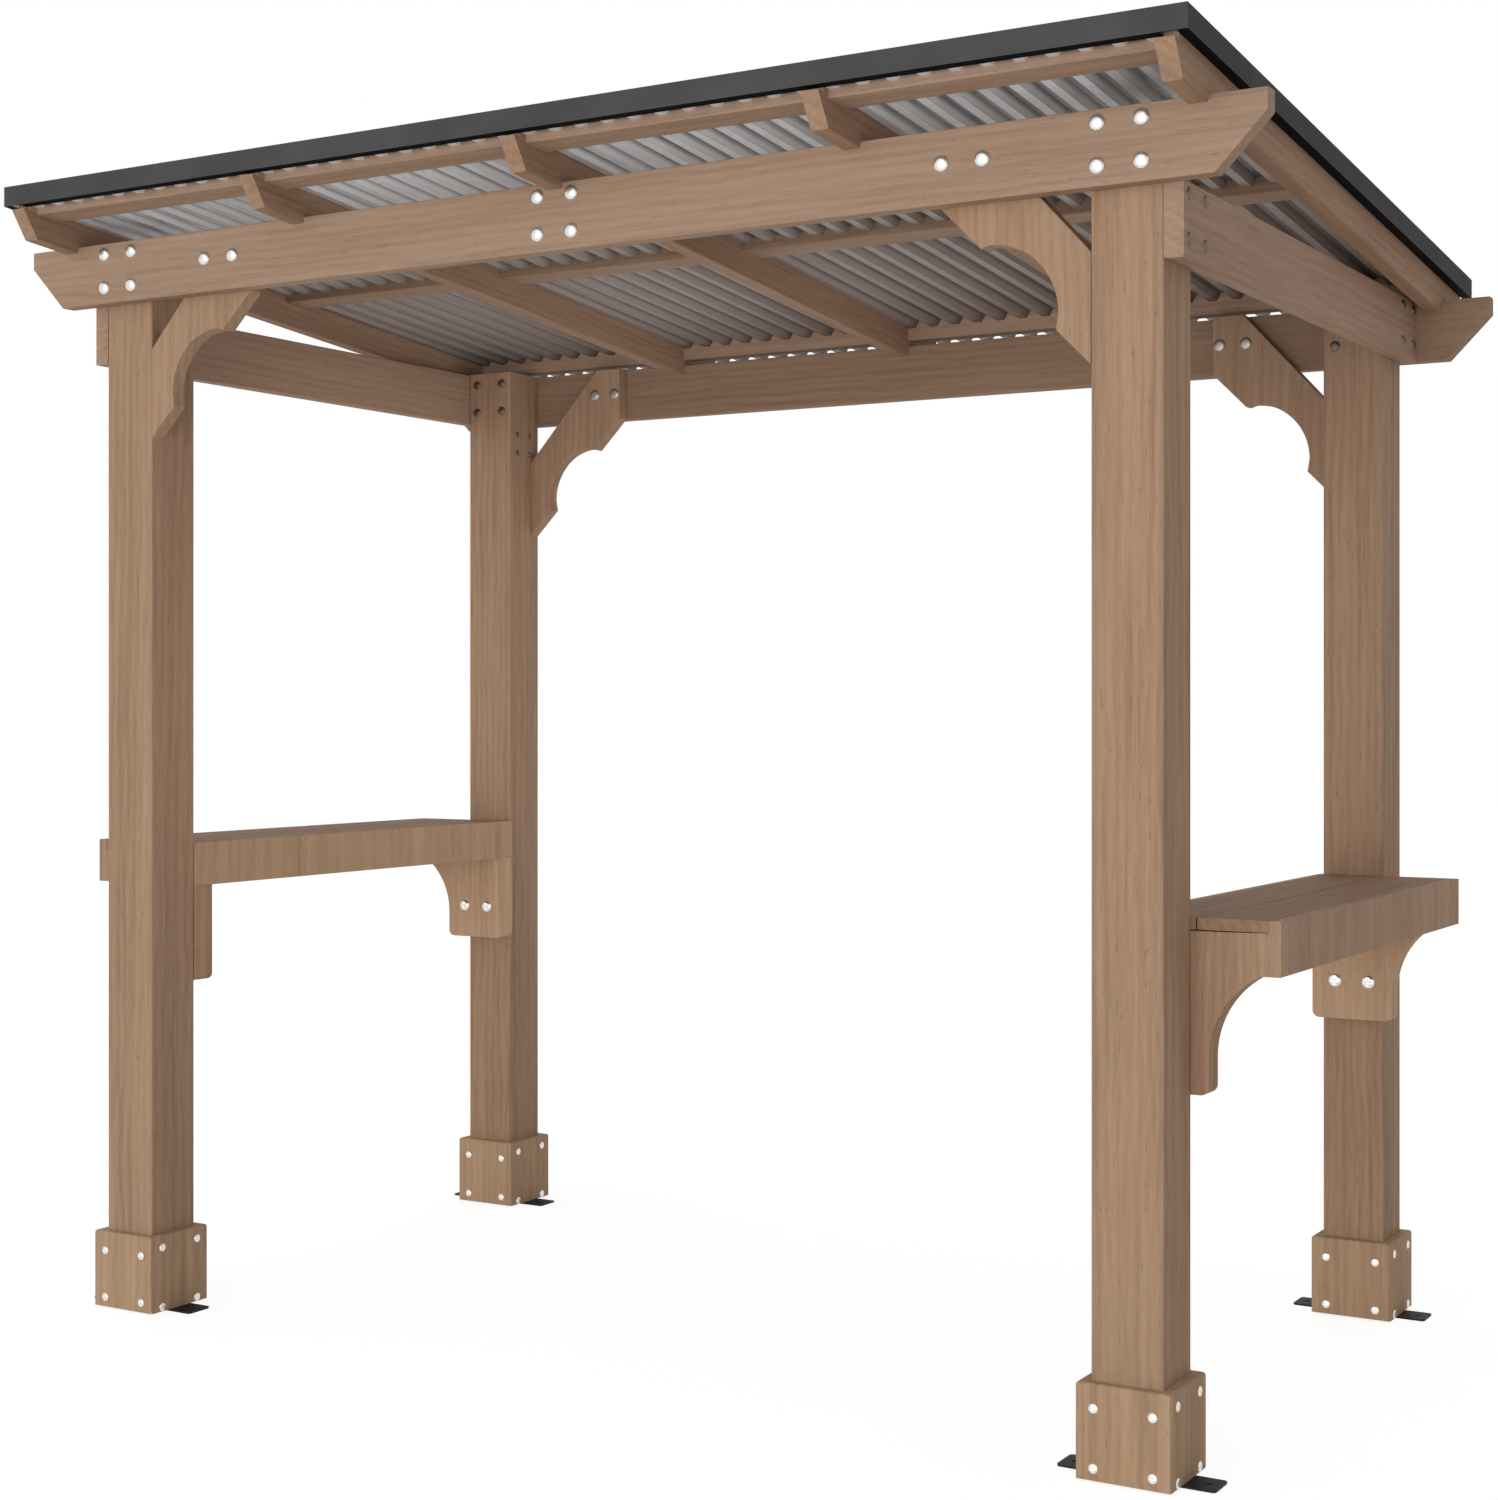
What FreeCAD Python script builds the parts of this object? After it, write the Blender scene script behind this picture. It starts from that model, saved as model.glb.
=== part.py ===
import FreeCAD, Part
import math
import os

# Grill gazebo: four timber posts, a single-slope steel roof and a shelf outside each side.
# Sizes are in millimetres. X runs along the two long beams, Y from the high front eave to
# the low back eave, and Z up from the ground. The origin is on the ground under the middle
# of the roof.

V = FreeCAD.Vector

# Frame, over the faces of the posts
FRAME_W = 2616.0
FRAME_D = 1540.0
POST = 140.0
POST_EASE = 4.0
EASE = 3.0

# Beams: planks on the outer faces of the posts
BEAM_T = 38.0
BEAM_H = 140.0
BEAM_TOP = 2489.0
BEAM_OVERHANG = 205.0
BEAM_NOSE = 40.0
BEAM_CUT = 97.0

# Roof: a single slope that falls to the back
ROOF_DEG = 5.33
ROOF_FRONT = 206.0
ROOF_BACK = 200.0
ROOF_SIDE = 121.0

# Rafters, notched over both long beams
RAFTER_T = 38.0
RAFTER_H = 89.0
RAFTER_BAYS = 4
RAFTER_INSET = 43.0
FRONT_SEAT = 14.0
BACK_SEAT = 26.0
BACK_TAIL = 24.0
TAIL_RAKE = 42.0
TAIL_LEDGE = 10.0

# Blocking between the rafters, let in to the ribs of the sheets
FRONT_BLOCK = 41.0
MID_BLOCK = 690.0
BLOCK_W = 70.0
BLOCK_DROP = 15.0
BACK_BLOCK_DROP = 36.0

# Corrugated steel sheets, one to a bay, with their ribs on the rafters
SHEET_T = 1.2
RIB_H = 18.0
RIBS_PER_BAY = 11
TROUGH_W = 20.0
CREST_W = 22.0
LAP_STEP = 2.0
EDGE_GAP = 1.0

# Folded edge trims
TRIM_T = 1.0
TRIM_H = 45.0
TRIM_FLANGE = 50.0
FRONT_FLANGE = 60.0
TRIM_LIP = 21.0
FRONT_LIP = 22.0
TRIM_SHORT = 18.0
TRIM_GAP = 0.4

# Scalloped knee braces, behind the long beams
BRACE_T = 38.0
BRACE_RUN = 304.0
BRACE_TOP_W = 76.0
BRACE_FOOT = 316.0
BRACE_HEEL = 109.0
SCALLOP_R = 138.0
SCALLOP_RUN = 203.0
SCALLOP_DROP = 216.0
SCALLOP_STEP = 5.0
BRACE_EASE = 2.0

# Feet: a steel strap under each post and a trim of four boards round it
PLATE_T = 4.0
PLATE_L = 308.0
PLATE_W = 70.0
PLATE_R = 8.0
ANCHOR_R = 6.0
ANCHOR_EDGE = 24.0
WRAP_T = 22.0
WRAP_H = 176.0
WRAP_BEVEL = 6.0
WRAP_CORNER = 5.0
MITRE_GAP = 0.6

# Shelves, between the front and back post of each side
SHELF_TOP = {"left": 1086.0, "right": 1020.0}
SHELF_OUT = 171.0
PLANK_T = 22.0
PLANK_GAP = 3.0
FASCIA_T = 22.0
FASCIA_H = 102.0
INNER_PROUD = 10.0
BRACKET_T = 50.0
BRACKET_DROP = 327.0
BRACKET_OUT = 34.0
BRACKET_R = 16.0
BRACKET_STRAIGHT = 67.0
BRACKET_CURVE = 176.0
SHELF_EASE = 2.0

# Places worked out from the sizes
SLOPE = math.tan(math.radians(ROOF_DEG))
ROOF_D = FRAME_D + ROOF_FRONT + ROOF_BACK
ROOF_W = FRAME_W + 2 * ROOF_SIDE
FRONT_EAVE = -ROOF_D / 2
BACK_EAVE = ROOF_D / 2
FRONT_FACE = FRONT_EAVE + ROOF_FRONT
BACK_FACE = FRONT_FACE + FRAME_D
POST_X = FRAME_W / 2 - POST / 2
INNER_X = FRAME_W / 2 - POST
FRONT_POST_Y = FRONT_FACE + POST / 2
BACK_POST_Y = BACK_FACE - POST / 2
BAY_Y0 = FRONT_FACE + POST
BAY_Y1 = BACK_FACE - POST
RAFTER_SPAN = ROOF_W - 2 * RAFTER_INSET
RAFTER_STEP = RAFTER_SPAN / RAFTER_BAYS
RAFTER_RISE = RAFTER_H / math.cos(math.radians(ROOF_DEG))
RIB_PITCH = RAFTER_STEP / RIBS_PER_BAY
RIB_FOOT = (RIB_PITCH - TROUGH_W) / 2
RIB_HALF = CREST_W / 2
BACK_OUTER = BACK_FACE + BEAM_T


def rafter_under(y):
    """Height of the underside of the rafters at y."""
    return BEAM_TOP - FRONT_SEAT - SLOPE * (y - (FRONT_FACE - BEAM_T))


def rafter_top(y):
    """Height of the top of the rafters at y."""
    return rafter_under(y) + RAFTER_RISE


def sheet_base(y):
    """Height of the underside of the sheets' troughs at y."""
    return rafter_top(y) - RIB_H


BACK_TOP = rafter_under(BACK_FACE) + BACK_SEAT


def save(shape, node):
    shape.exportStep("parts/" + node + ".step")


def outline(start, *steps):
    """Flat face whose steps are corner points or (middle, end) pairs for an arc."""
    edges = []
    here = start
    for step in steps + (start,):
        if isinstance(step, tuple):
            edges.append(Part.Arc(here, step[0], step[1]).toShape())
            here = step[1]
        elif step.distanceToPoint(here) > 0.001:
            edges.append(Part.makeLine(here, step))
            here = step
    return Part.Face(Part.Wire(edges))


def ease(shape, radius, direction):
    """Rounds the long edges that run along direction."""
    picked = []
    for edge in shape.Edges:
        if isinstance(edge.Curve, Part.Line):
            along = edge.tangentAt(edge.FirstParameter)
            if abs(along.dot(direction)) > 0.9999 and edge.Length > 6 * radius:
                picked.append(edge)
    return shape.makeFillet(radius, picked)


def ease_rim(shape, radius, normal):
    """Rounds the rim of the two flat faces that look along normal."""
    picked = []
    for face in shape.Faces:
        if abs(face.normalAt(0, 0).dot(normal)) > 0.9999:
            picked.extend(face.OuterWire.Edges)
    return shape.makeFillet(radius, picked)


def flip_x(shape):
    return shape.mirror(V(0, 0, 0), V(1, 0, 0))


def box(x0, x1, y0, y1, z0, z1):
    return Part.makeBox(x1 - x0, y1 - y0, z1 - z0, V(x0, y0, z0))


def down_slope(points, y0, y1):
    """Runs an outline down the roof. Its points are x and height over the sheets' base."""
    corners = [V(x, y0, sheet_base(y0) + height) for x, height in points + points[:1]]
    length = y1 - y0
    return Part.Face(Part.makePolygon(corners)).extrude(V(0, length, -SLOPE * length))


def rib(x):
    """Underside of a rib centred at x, from its left foot to its right foot."""
    return [(x - RIB_FOOT, 0), (x - RIB_HALF, RIB_H), (x + RIB_HALF, RIB_H), (x + RIB_FOOT, 0)]


# Posts: square timbers that run up behind the long beams to their top edge.
def post(x, y, top):
    half = POST / 2
    timber = box(x - half, x + half, y - half, y + half, PLATE_T, top)
    return ease(timber, POST_EASE, V(0, 0, 1))


# Foot straps: flat steel under each post, with an anchor hole in each end.
def foot_plate(x, y):
    plate = box(x - PLATE_L / 2, x + PLATE_L / 2, y - PLATE_W / 2, y + PLATE_W / 2, 0, PLATE_T)
    corners = [edge for edge in plate.Edges if abs(edge.Length - PLATE_T) < 0.001]
    plate = plate.makeFillet(PLATE_R, corners)
    for side in (-1, 1):
        hole_x = x + side * (PLATE_L / 2 - ANCHOR_EDGE)
        plate = plate.cut(Part.makeCylinder(ANCHOR_R, PLATE_T, V(hole_x, y, 0)))
    return plate


# Base trims: four mitred boards round the foot of each post.
def base_trim(x, y):
    outer = POST / 2 + WRAP_T
    top = PLATE_T + WRAP_H
    ring = box(-outer, outer, -outer, outer, PLATE_T, top)
    ring = ease(ring, WRAP_CORNER, V(0, 0, 1))
    rim = [edge for edge in ring.Edges if edge.BoundBox.ZMin > top - 0.001]
    ring = ring.makeFillet(WRAP_BEVEL, rim)
    ring = ring.cut(box(-POST / 2, POST / 2, -POST / 2, POST / 2, 0, top + 1))
    reach = 2 * outer
    gap = MITRE_GAP * math.sqrt(0.5)
    wedge = outline(V(0, -gap, 0), V(reach, -reach - gap, 0), V(-reach, -reach - gap, 0))
    wedge = wedge.extrude(V(0, 0, top + 1))
    boards = []
    for turn in range(4):
        quarter = wedge.copy()
        quarter.rotate(V(0, 0, 0), V(0, 0, 1), 90 * turn)
        boards.extend(ring.common(quarter).Solids)
    trim = Part.makeCompound(boards)
    trim.translate(V(x, y, 0))
    return trim


# Long beams: planks on the outer faces of the posts, with undercut ends.
def long_beam(y, top):
    end = FRAME_W / 2 + BEAM_OVERHANG
    under = end - BEAM_CUT
    face = outline(
        V(-end, y, top),
        V(end, y, top),
        V(end, y, top - BEAM_NOSE),
        V(under, y, top - BEAM_H),
        V(-under, y, top - BEAM_H),
        V(-end, y, top - BEAM_NOSE),
    )
    return ease(face.extrude(V(0, BEAM_T, 0)), EASE, V(1, 0, 0))


# Side beams: the same planks outside the posts, flush with the back beam they butt against.
def side_beam():
    x0 = FRAME_W / 2
    plank = box(x0, x0 + BEAM_T, FRONT_FACE, BACK_FACE, BACK_TOP - BEAM_H, BACK_TOP)
    return ease(plank, EASE, V(0, 1, 0))


# Knee braces: planks with a quarter-round scallop between two 45 degree cuts.
# The outline is measured from the inner face of the post and the underside of the beam.
def knee_brace(y, top):
    def at(run, drop):
        return V(INNER_X - run, y, top - BEAM_H - drop)

    diagonal = SCALLOP_R * math.sqrt(0.5)
    arc_top = at(SCALLOP_RUN, SCALLOP_DROP - SCALLOP_R)
    arc_middle = at(SCALLOP_RUN - diagonal, SCALLOP_DROP - diagonal)
    arc_side = at(SCALLOP_RUN - SCALLOP_R, SCALLOP_DROP)
    step_drop = SCALLOP_DROP - SCALLOP_R + SCALLOP_STEP
    step_run = SCALLOP_RUN - SCALLOP_R + SCALLOP_STEP
    face = outline(
        at(BRACE_RUN - BRACE_TOP_W, -BEAM_H),
        at(BRACE_RUN, -BEAM_H),
        at(BRACE_RUN, 0),
        at(BRACE_RUN - step_drop, step_drop),
        arc_top,
        (arc_middle, arc_side),
        at(step_run, BRACE_FOOT - step_run),
        at(0, BRACE_FOOT),
        at(0, BRACE_HEEL),
    )
    return ease_rim(face.extrude(V(0, BRACE_T, 0)), BRACE_EASE, V(0, 1, 0))


# Rafters: on edge, notched over both long beams, with raked tails. The top is bevelled to
# lie in a rib of the sheets and cut back at the front for the lip of the front trim.
def rafter(x):
    y0 = FRONT_EAVE + TRIM_T + TRIM_GAP
    y1 = BACK_EAVE - BACK_TAIL
    notch = FRONT_EAVE + FRONT_LIP + TRIM_GAP
    x0 = x - RAFTER_T / 2
    x1 = x + RAFTER_T / 2
    face = outline(
        V(x0, y0, sheet_base(y0) - TAIL_LEDGE),
        V(x0, notch, sheet_base(notch) - TAIL_LEDGE),
        V(x0, notch, rafter_top(notch)),
        V(x0, y1, rafter_top(y1)),
        V(x0, y1 - TAIL_RAKE, rafter_under(y1 - TAIL_RAKE)),
        V(x0, y0 + TAIL_RAKE, rafter_under(y0 + TAIL_RAKE)),
    )
    timber = face.extrude(V(RAFTER_T, 0, 0))
    sills = [
        edge
        for edge in timber.Edges
        if edge.Length > FRAME_D and edge.CenterOfMass.z < rafter_under(0) + EASE
    ]
    timber = timber.makeFillet(EASE, sills)
    flank = RIB_H * (RIB_FOOT - RAFTER_T / 2) / (RIB_FOOT - RIB_HALF)
    section = [(x0, -2 * RAFTER_H), (x0, flank)] + rib(x)[1:3] + [(x1, flank), (x1, -2 * RAFTER_H)]
    timber = timber.common(down_slope(section, FRONT_EAVE, BACK_EAVE))
    timber = timber.cut(box(x0, x1, FRONT_FACE - BEAM_T, FRONT_FACE, 0, BEAM_TOP))
    return timber.cut(box(x0, x1, BACK_FACE, BACK_OUTER, 0, BACK_TOP))


def rafter_centres():
    return [-RAFTER_SPAN / 2 + RAFTER_STEP * i for i in range(RAFTER_BAYS + 1)]


# Blocking: a row of short pieces between the rafters, with their tops cut to the ribs.
def blocking(y0, depth, drop):
    pieces = []
    for centre in rafter_centres()[:-1]:
        x0 = centre + RAFTER_T / 2
        x1 = x0 + RAFTER_STEP - RAFTER_T
        points = [(x0, -drop), (x0, 0)]
        for i in range(1, RIBS_PER_BAY):
            points += rib(centre + i * RIB_PITCH)
        points += [(x1, 0), (x1, -drop)]
        piece = down_slope(points, y0, y0 + depth)
        sills = [edge for edge in piece.Edges if edge.Length > RAFTER_STEP / 2]
        pieces.append(piece.makeFillet(EASE, sills))
    return Part.makeCompound(pieces)


# Roof sheets: ribbed steel, with a rib centred on each rafter. Each sheet laps over the
# last rib of the sheet before it.
def sheet(bay):
    limit = ROOF_W / 2 - TRIM_T - EDGE_GAP
    start = rafter_centres()[bay]
    lower = []
    for i in range(RIBS_PER_BAY + 1):
        lower += rib(start + i * RIB_PITCH)
    if bay == 0:
        lower = [(-limit, 0)] + lower
    else:
        lapped = RIB_H + SHEET_T
        lower = [(start - RIB_HALF, lapped), (start + RIB_HALF, lapped)] + lower[3:]
    if bay == RAFTER_BAYS - 1:
        lower = lower + [(limit, 0)]
    else:
        lower = lower[:-2] + [(start + RAFTER_STEP + RIB_HALF - LAP_STEP, RIB_H)]
    upper = [(x, height + SHEET_T) for x, height in reversed(lower)]
    return down_slope(lower + upper, FRONT_EAVE + TRIM_T + EDGE_GAP, BACK_EAVE)


# Edge trims: folded steel that caps the sheets along the front and both sides.
# Each stands on the ribs with its inner leg and turns in under the sheets with its lip.
def side_trim():
    x1 = ROOF_W / 2
    x0 = x1 - TRIM_FLANGE
    top = TRIM_H - TRIM_T
    rib_top = RIB_H + SHEET_T
    points = [
        (x1 - TRIM_LIP, -TRIM_T),
        (x1, -TRIM_T),
        (x1, top),
        (x0, top),
        (x0, rib_top),
        (x0 + TRIM_T, rib_top),
        (x0 + TRIM_T, top - TRIM_T),
        (x1 - TRIM_T, top - TRIM_T),
        (x1 - TRIM_T, 0),
        (x1 - TRIM_LIP, 0),
    ]
    return down_slope(points, FRONT_EAVE + TRIM_T + TRIM_GAP, BACK_EAVE - TRIM_SHORT)


def front_trim():
    x0 = -ROOF_W / 2
    y0 = FRONT_EAVE
    y1 = y0 + FRONT_FLANGE

    def at(y, height):
        return V(x0, y, sheet_base(y) + height)

    top = TRIM_H - TRIM_T
    lap_top = RIB_H + 2 * SHEET_T
    face = outline(
        at(y0 + FRONT_LIP, -TRIM_T),
        at(y0, -TRIM_T),
        at(y0, top),
        at(y1, top),
        at(y1, lap_top),
        at(y1 - TRIM_T, lap_top),
        at(y1 - TRIM_T, top - TRIM_T),
        at(y0 + TRIM_T, top - TRIM_T),
        at(y0 + TRIM_T, 0),
        at(y0 + FRONT_LIP, 0),
    )
    folded = face.extrude(V(ROOF_W, 0, 0))
    low = sheet_base(y1) - TRIM_H
    high = sheet_base(y0) + 2 * TRIM_H
    corner = box(x0, x0 + TRIM_FLANGE + TRIM_GAP, y0 + TRIM_T, y1 + 1, low, high)
    return folded.cut(corner).cut(flip_x(corner))


# Shelves: two planks on a pair of brackets, between an outer and an inner board.
# Made for the right side, where x grows away from the posts' outer face.
OUT_X = FRAME_W / 2
INNER_BOARD_X = INNER_X - INNER_PROUD


def shelf_planks(top):
    x0 = INNER_BOARD_X + FASCIA_T
    x1 = OUT_X + SHELF_OUT - FASCIA_T
    width = (x1 - x0 - PLANK_GAP) / 2
    planks = []
    for start in (x0, x1 - width):
        plank = box(start, start + width, BAY_Y0, BAY_Y1, top - PLANK_T, top)
        planks.append(ease(plank, SHELF_EASE, V(0, 1, 0)))
    return Part.makeCompound(planks)


def shelf_board(x0, top):
    board = box(x0, x0 + FASCIA_T, BAY_Y0, BAY_Y1, top - FASCIA_H, top)
    return ease(board, SHELF_EASE, V(0, 1, 0))


def shelf_bracket(y0, top):
    inner = INNER_BOARD_X
    seat = top - PLANK_T
    arm = top - FASCIA_H
    foot = top - BRACKET_DROP
    leg = OUT_X + BRACKET_OUT
    curve_z = foot + BRACKET_STRAIGHT
    rise = arm - curve_z
    reach = BRACKET_CURVE - math.sqrt(BRACKET_CURVE**2 - rise**2)
    half_rise = rise / 2
    half_reach = BRACKET_CURVE - math.sqrt(BRACKET_CURVE**2 - half_rise**2)
    turn = BRACKET_R * (1 - math.sqrt(0.5))

    def at(x, z):
        return V(x, y0, z)

    face = outline(
        at(inner + FASCIA_T, seat),
        at(OUT_X + SHELF_OUT - FASCIA_T, seat),
        at(OUT_X + SHELF_OUT - FASCIA_T, arm),
        at(leg + reach, arm),
        (at(leg + half_reach, curve_z + half_rise), at(leg, curve_z)),
        at(leg, foot + BRACKET_R),
        (at(leg - turn, foot + turn), at(leg - BRACKET_R, foot)),
        at(inner + BRACKET_R, foot),
        (at(inner + turn, foot + turn), at(inner, foot + BRACKET_R)),
        at(inner, arm),
        at(inner + FASCIA_T, arm),
    )
    return face.extrude(V(0, BRACKET_T, 0))


os.makedirs("parts", exist_ok=True)

for side, sign in (("left", -1), ("right", 1)):
    for depth, y, top in (("front", FRONT_POST_Y, BEAM_TOP), ("back", BACK_POST_Y, BACK_TOP)):
        place = depth + "_" + side
        save(post(sign * POST_X, y, top), "post_" + place)
        save(base_trim(sign * POST_X, y), "base_trim_" + place)
        save(foot_plate(sign * POST_X, y), "foot_plate_" + place)

save(long_beam(FRONT_FACE - BEAM_T, BEAM_TOP), "front_beam")
save(long_beam(BACK_FACE, BACK_TOP), "back_beam")

for side in ("left", "right"):
    turned = flip_x if side == "left" else Part.Shape.copy
    top = SHELF_TOP[side]
    fascia_x = OUT_X + SHELF_OUT - FASCIA_T
    save(turned(side_beam()), "side_beam_" + side)
    save(turned(knee_brace(FRONT_FACE, BEAM_TOP)), "knee_brace_front_" + side)
    save(turned(knee_brace(BACK_FACE - BRACE_T, BACK_TOP)), "knee_brace_back_" + side)
    save(turned(side_trim()), "roof_trim_" + side)
    save(turned(shelf_planks(top)), "shelf_planks_" + side)
    save(turned(shelf_board(fascia_x, top)), "shelf_outer_board_" + side)
    save(turned(shelf_board(INNER_BOARD_X, top)), "shelf_inner_board_" + side)
    save(turned(shelf_bracket(BAY_Y0, top)), "shelf_bracket_front_" + side)
    save(turned(shelf_bracket(BAY_Y1 - BRACKET_T, top)), "shelf_bracket_back_" + side)

for number, centre in enumerate(rafter_centres(), 1):
    save(rafter(centre), "rafter_%d" % number)

save(blocking(FRONT_EAVE + FRONT_BLOCK, BLOCK_W, BLOCK_DROP), "blocking_front")
save(blocking(FRONT_FACE + MID_BLOCK, BLOCK_W, BLOCK_DROP), "blocking_middle")
save(blocking(BACK_FACE, BEAM_T, BACK_BLOCK_DROP), "blocking_back")

for bay in range(RAFTER_BAYS):
    save(sheet(bay), "roof_sheet_%d" % (bay + 1))
save(front_trim(), "roof_trim_front")
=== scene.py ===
import math

import bmesh
import bpy
from mathutils import Matrix, Vector


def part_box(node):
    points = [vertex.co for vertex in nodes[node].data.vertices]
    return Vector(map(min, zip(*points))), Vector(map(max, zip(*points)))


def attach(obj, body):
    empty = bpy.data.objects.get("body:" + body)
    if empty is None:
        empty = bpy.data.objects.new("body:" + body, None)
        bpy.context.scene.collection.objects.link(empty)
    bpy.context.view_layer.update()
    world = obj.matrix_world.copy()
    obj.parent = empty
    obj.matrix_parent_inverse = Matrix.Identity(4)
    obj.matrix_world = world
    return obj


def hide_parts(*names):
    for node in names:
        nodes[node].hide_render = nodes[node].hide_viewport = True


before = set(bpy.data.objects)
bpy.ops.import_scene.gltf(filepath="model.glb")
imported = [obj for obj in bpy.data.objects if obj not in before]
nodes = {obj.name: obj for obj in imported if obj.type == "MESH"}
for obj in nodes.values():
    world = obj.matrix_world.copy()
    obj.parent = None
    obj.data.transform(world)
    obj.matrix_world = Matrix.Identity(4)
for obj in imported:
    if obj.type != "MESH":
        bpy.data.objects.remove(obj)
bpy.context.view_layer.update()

# Camera
# A level view from the front right corner at eye height. The lens is shifted so that the
# upright posts stay upright and the roof's underside shows.
photo_long_side = 1500
photo_focal = 2403.55
photo_shift = (12.2, -44.2)
sensor = 36
camera_data = bpy.data.cameras.new("photo_camera")
camera_data.sensor_width = sensor
camera_data.lens = photo_focal / photo_long_side * sensor
camera_data.shift_x = photo_shift[0] / photo_long_side
camera_data.shift_y = photo_shift[1] / photo_long_side
eye = (2.8615, -4.8657, 1.4107)
turned_left = 30.83
camera = bpy.data.objects.new("photo_camera", camera_data)
camera.location = eye
camera.rotation_euler = (math.radians(90), 0, math.radians(turned_left))
bpy.context.scene.collection.objects.link(camera)
bpy.context.scene.camera = camera

# Foot straps
# Flat bars of mild steel under the posts, with a hole in each end for a ground anchor.
# They are punched from strip and powder coated black.


def linear(code):
    """Linear colour of an sRGB hex value."""
    channels = [int(code[i:i + 2], 16) / 255 for i in (1, 3, 5)]
    return [c / 12.92 if c <= 0.04045 else ((c + 0.055) / 1.055) ** 2.4 for c in channels] + [1]


def add(tree, kind, settings, links=None):
    """Adds a node, sets its sockets or properties, and links its inputs."""
    node = tree.nodes.new(kind)
    for name, value in settings.items():
        if isinstance(name, int) or name in node.inputs:
            node.inputs[name].default_value = value
        else:
            setattr(node, name, value)
    for name, socket in (links or {}).items():
        tree.links.new(socket, node.inputs[name])
    return node


def new_material(name):
    """A material with its node tree and its surface shader."""
    material = bpy.data.materials.new(name)
    material.use_nodes = True
    tree = material.node_tree
    return material, tree, tree.nodes["Principled BSDF"]


def dress(material, *names):
    """Gives carried-over nodes their finish."""
    for name in names:
        node_mesh = nodes[name].data
        node_mesh.materials.clear()
        node_mesh.materials.append(material)


def ramp(tree, factor, stops):
    """Colour ramp from (position, hex) stops."""
    node = add(tree, "ShaderNodeValToRGB", {}, {"Fac": factor})
    elements = node.color_ramp.elements
    while len(elements) < len(stops):
        elements.new(0.5)
    for element, (position, code) in zip(elements, stops):
        element.position = position
        element.color = linear(code)
    return node


CORNERS = ("front_left", "front_right", "back_left", "back_right")


def powder_coat(name, dark, pale, dust_size, relief, roughness, shine, underside_shade=None):
    """Powder coated steel: fine orange peel about 1.5 mm across, and dust in larger clouds."""
    peel_size = 0.0015
    peel_depth = 0.0002
    material, tree, surface = new_material(name)
    place = add(tree, "ShaderNodeTexCoord", {}).outputs["Object"]
    peel = add(tree, "ShaderNodeTexNoise", {"Scale": 1 / peel_size, "Detail": 1}, {"Vector": place})
    dust = add(tree, "ShaderNodeTexNoise", {"Scale": 1 / dust_size, "Detail": 3}, {"Vector": place})
    tint = ramp(tree, dust.outputs["Fac"], [(0.3, dark), (0.75, pale)])
    dents = add(
        tree, "ShaderNodeBump", {"Strength": relief, "Distance": peel_depth}, {"Height": peel.outputs["Fac"]}
    )
    colour = tint.outputs["Color"]
    if underside_shade:
        # Faces turned down are painted near black, as painted shade.
        facing_down = -0.8
        way = add(tree, "ShaderNodeNewGeometry", {})
        facing = add(tree, "ShaderNodeSeparateXYZ", {}, {0: way.outputs["True Normal"]})
        below = add(
            tree, "ShaderNodeMath", {"operation": "LESS_THAN", 1: facing_down}, {0: facing.outputs[2]}
        )
        colour = add(
            tree,
            "ShaderNodeMix",
            {"data_type": "RGBA", 7: linear(underside_shade)},
            {0: below.outputs[0], 6: colour},
        ).outputs[2]
    tree.links.new(colour, surface.inputs["Base Color"])
    tree.links.new(dents.outputs["Normal"], surface.inputs["Normal"])
    surface.inputs["Roughness"].default_value = roughness
    surface.inputs["Specular IOR Level"].default_value = shine
    return material


# Powder coated steel, black: a satin skin that hardly shines, with a little grey dust.
black_coat = powder_coat(
    "powder coated steel, black satin",
    "#0A0A0B",
    "#161617",
    dust_size=0.02,
    relief=0.15,
    roughness=0.6,
    shine=0.25,
)
dress(black_coat, *("foot_plate_" + corner for corner in CORNERS))

# Posts
# Solid square cedar, sawn with the heart in, planed on four sides and stained a warm tan.
# They stand on the straps and run up behind the long beams.


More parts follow.
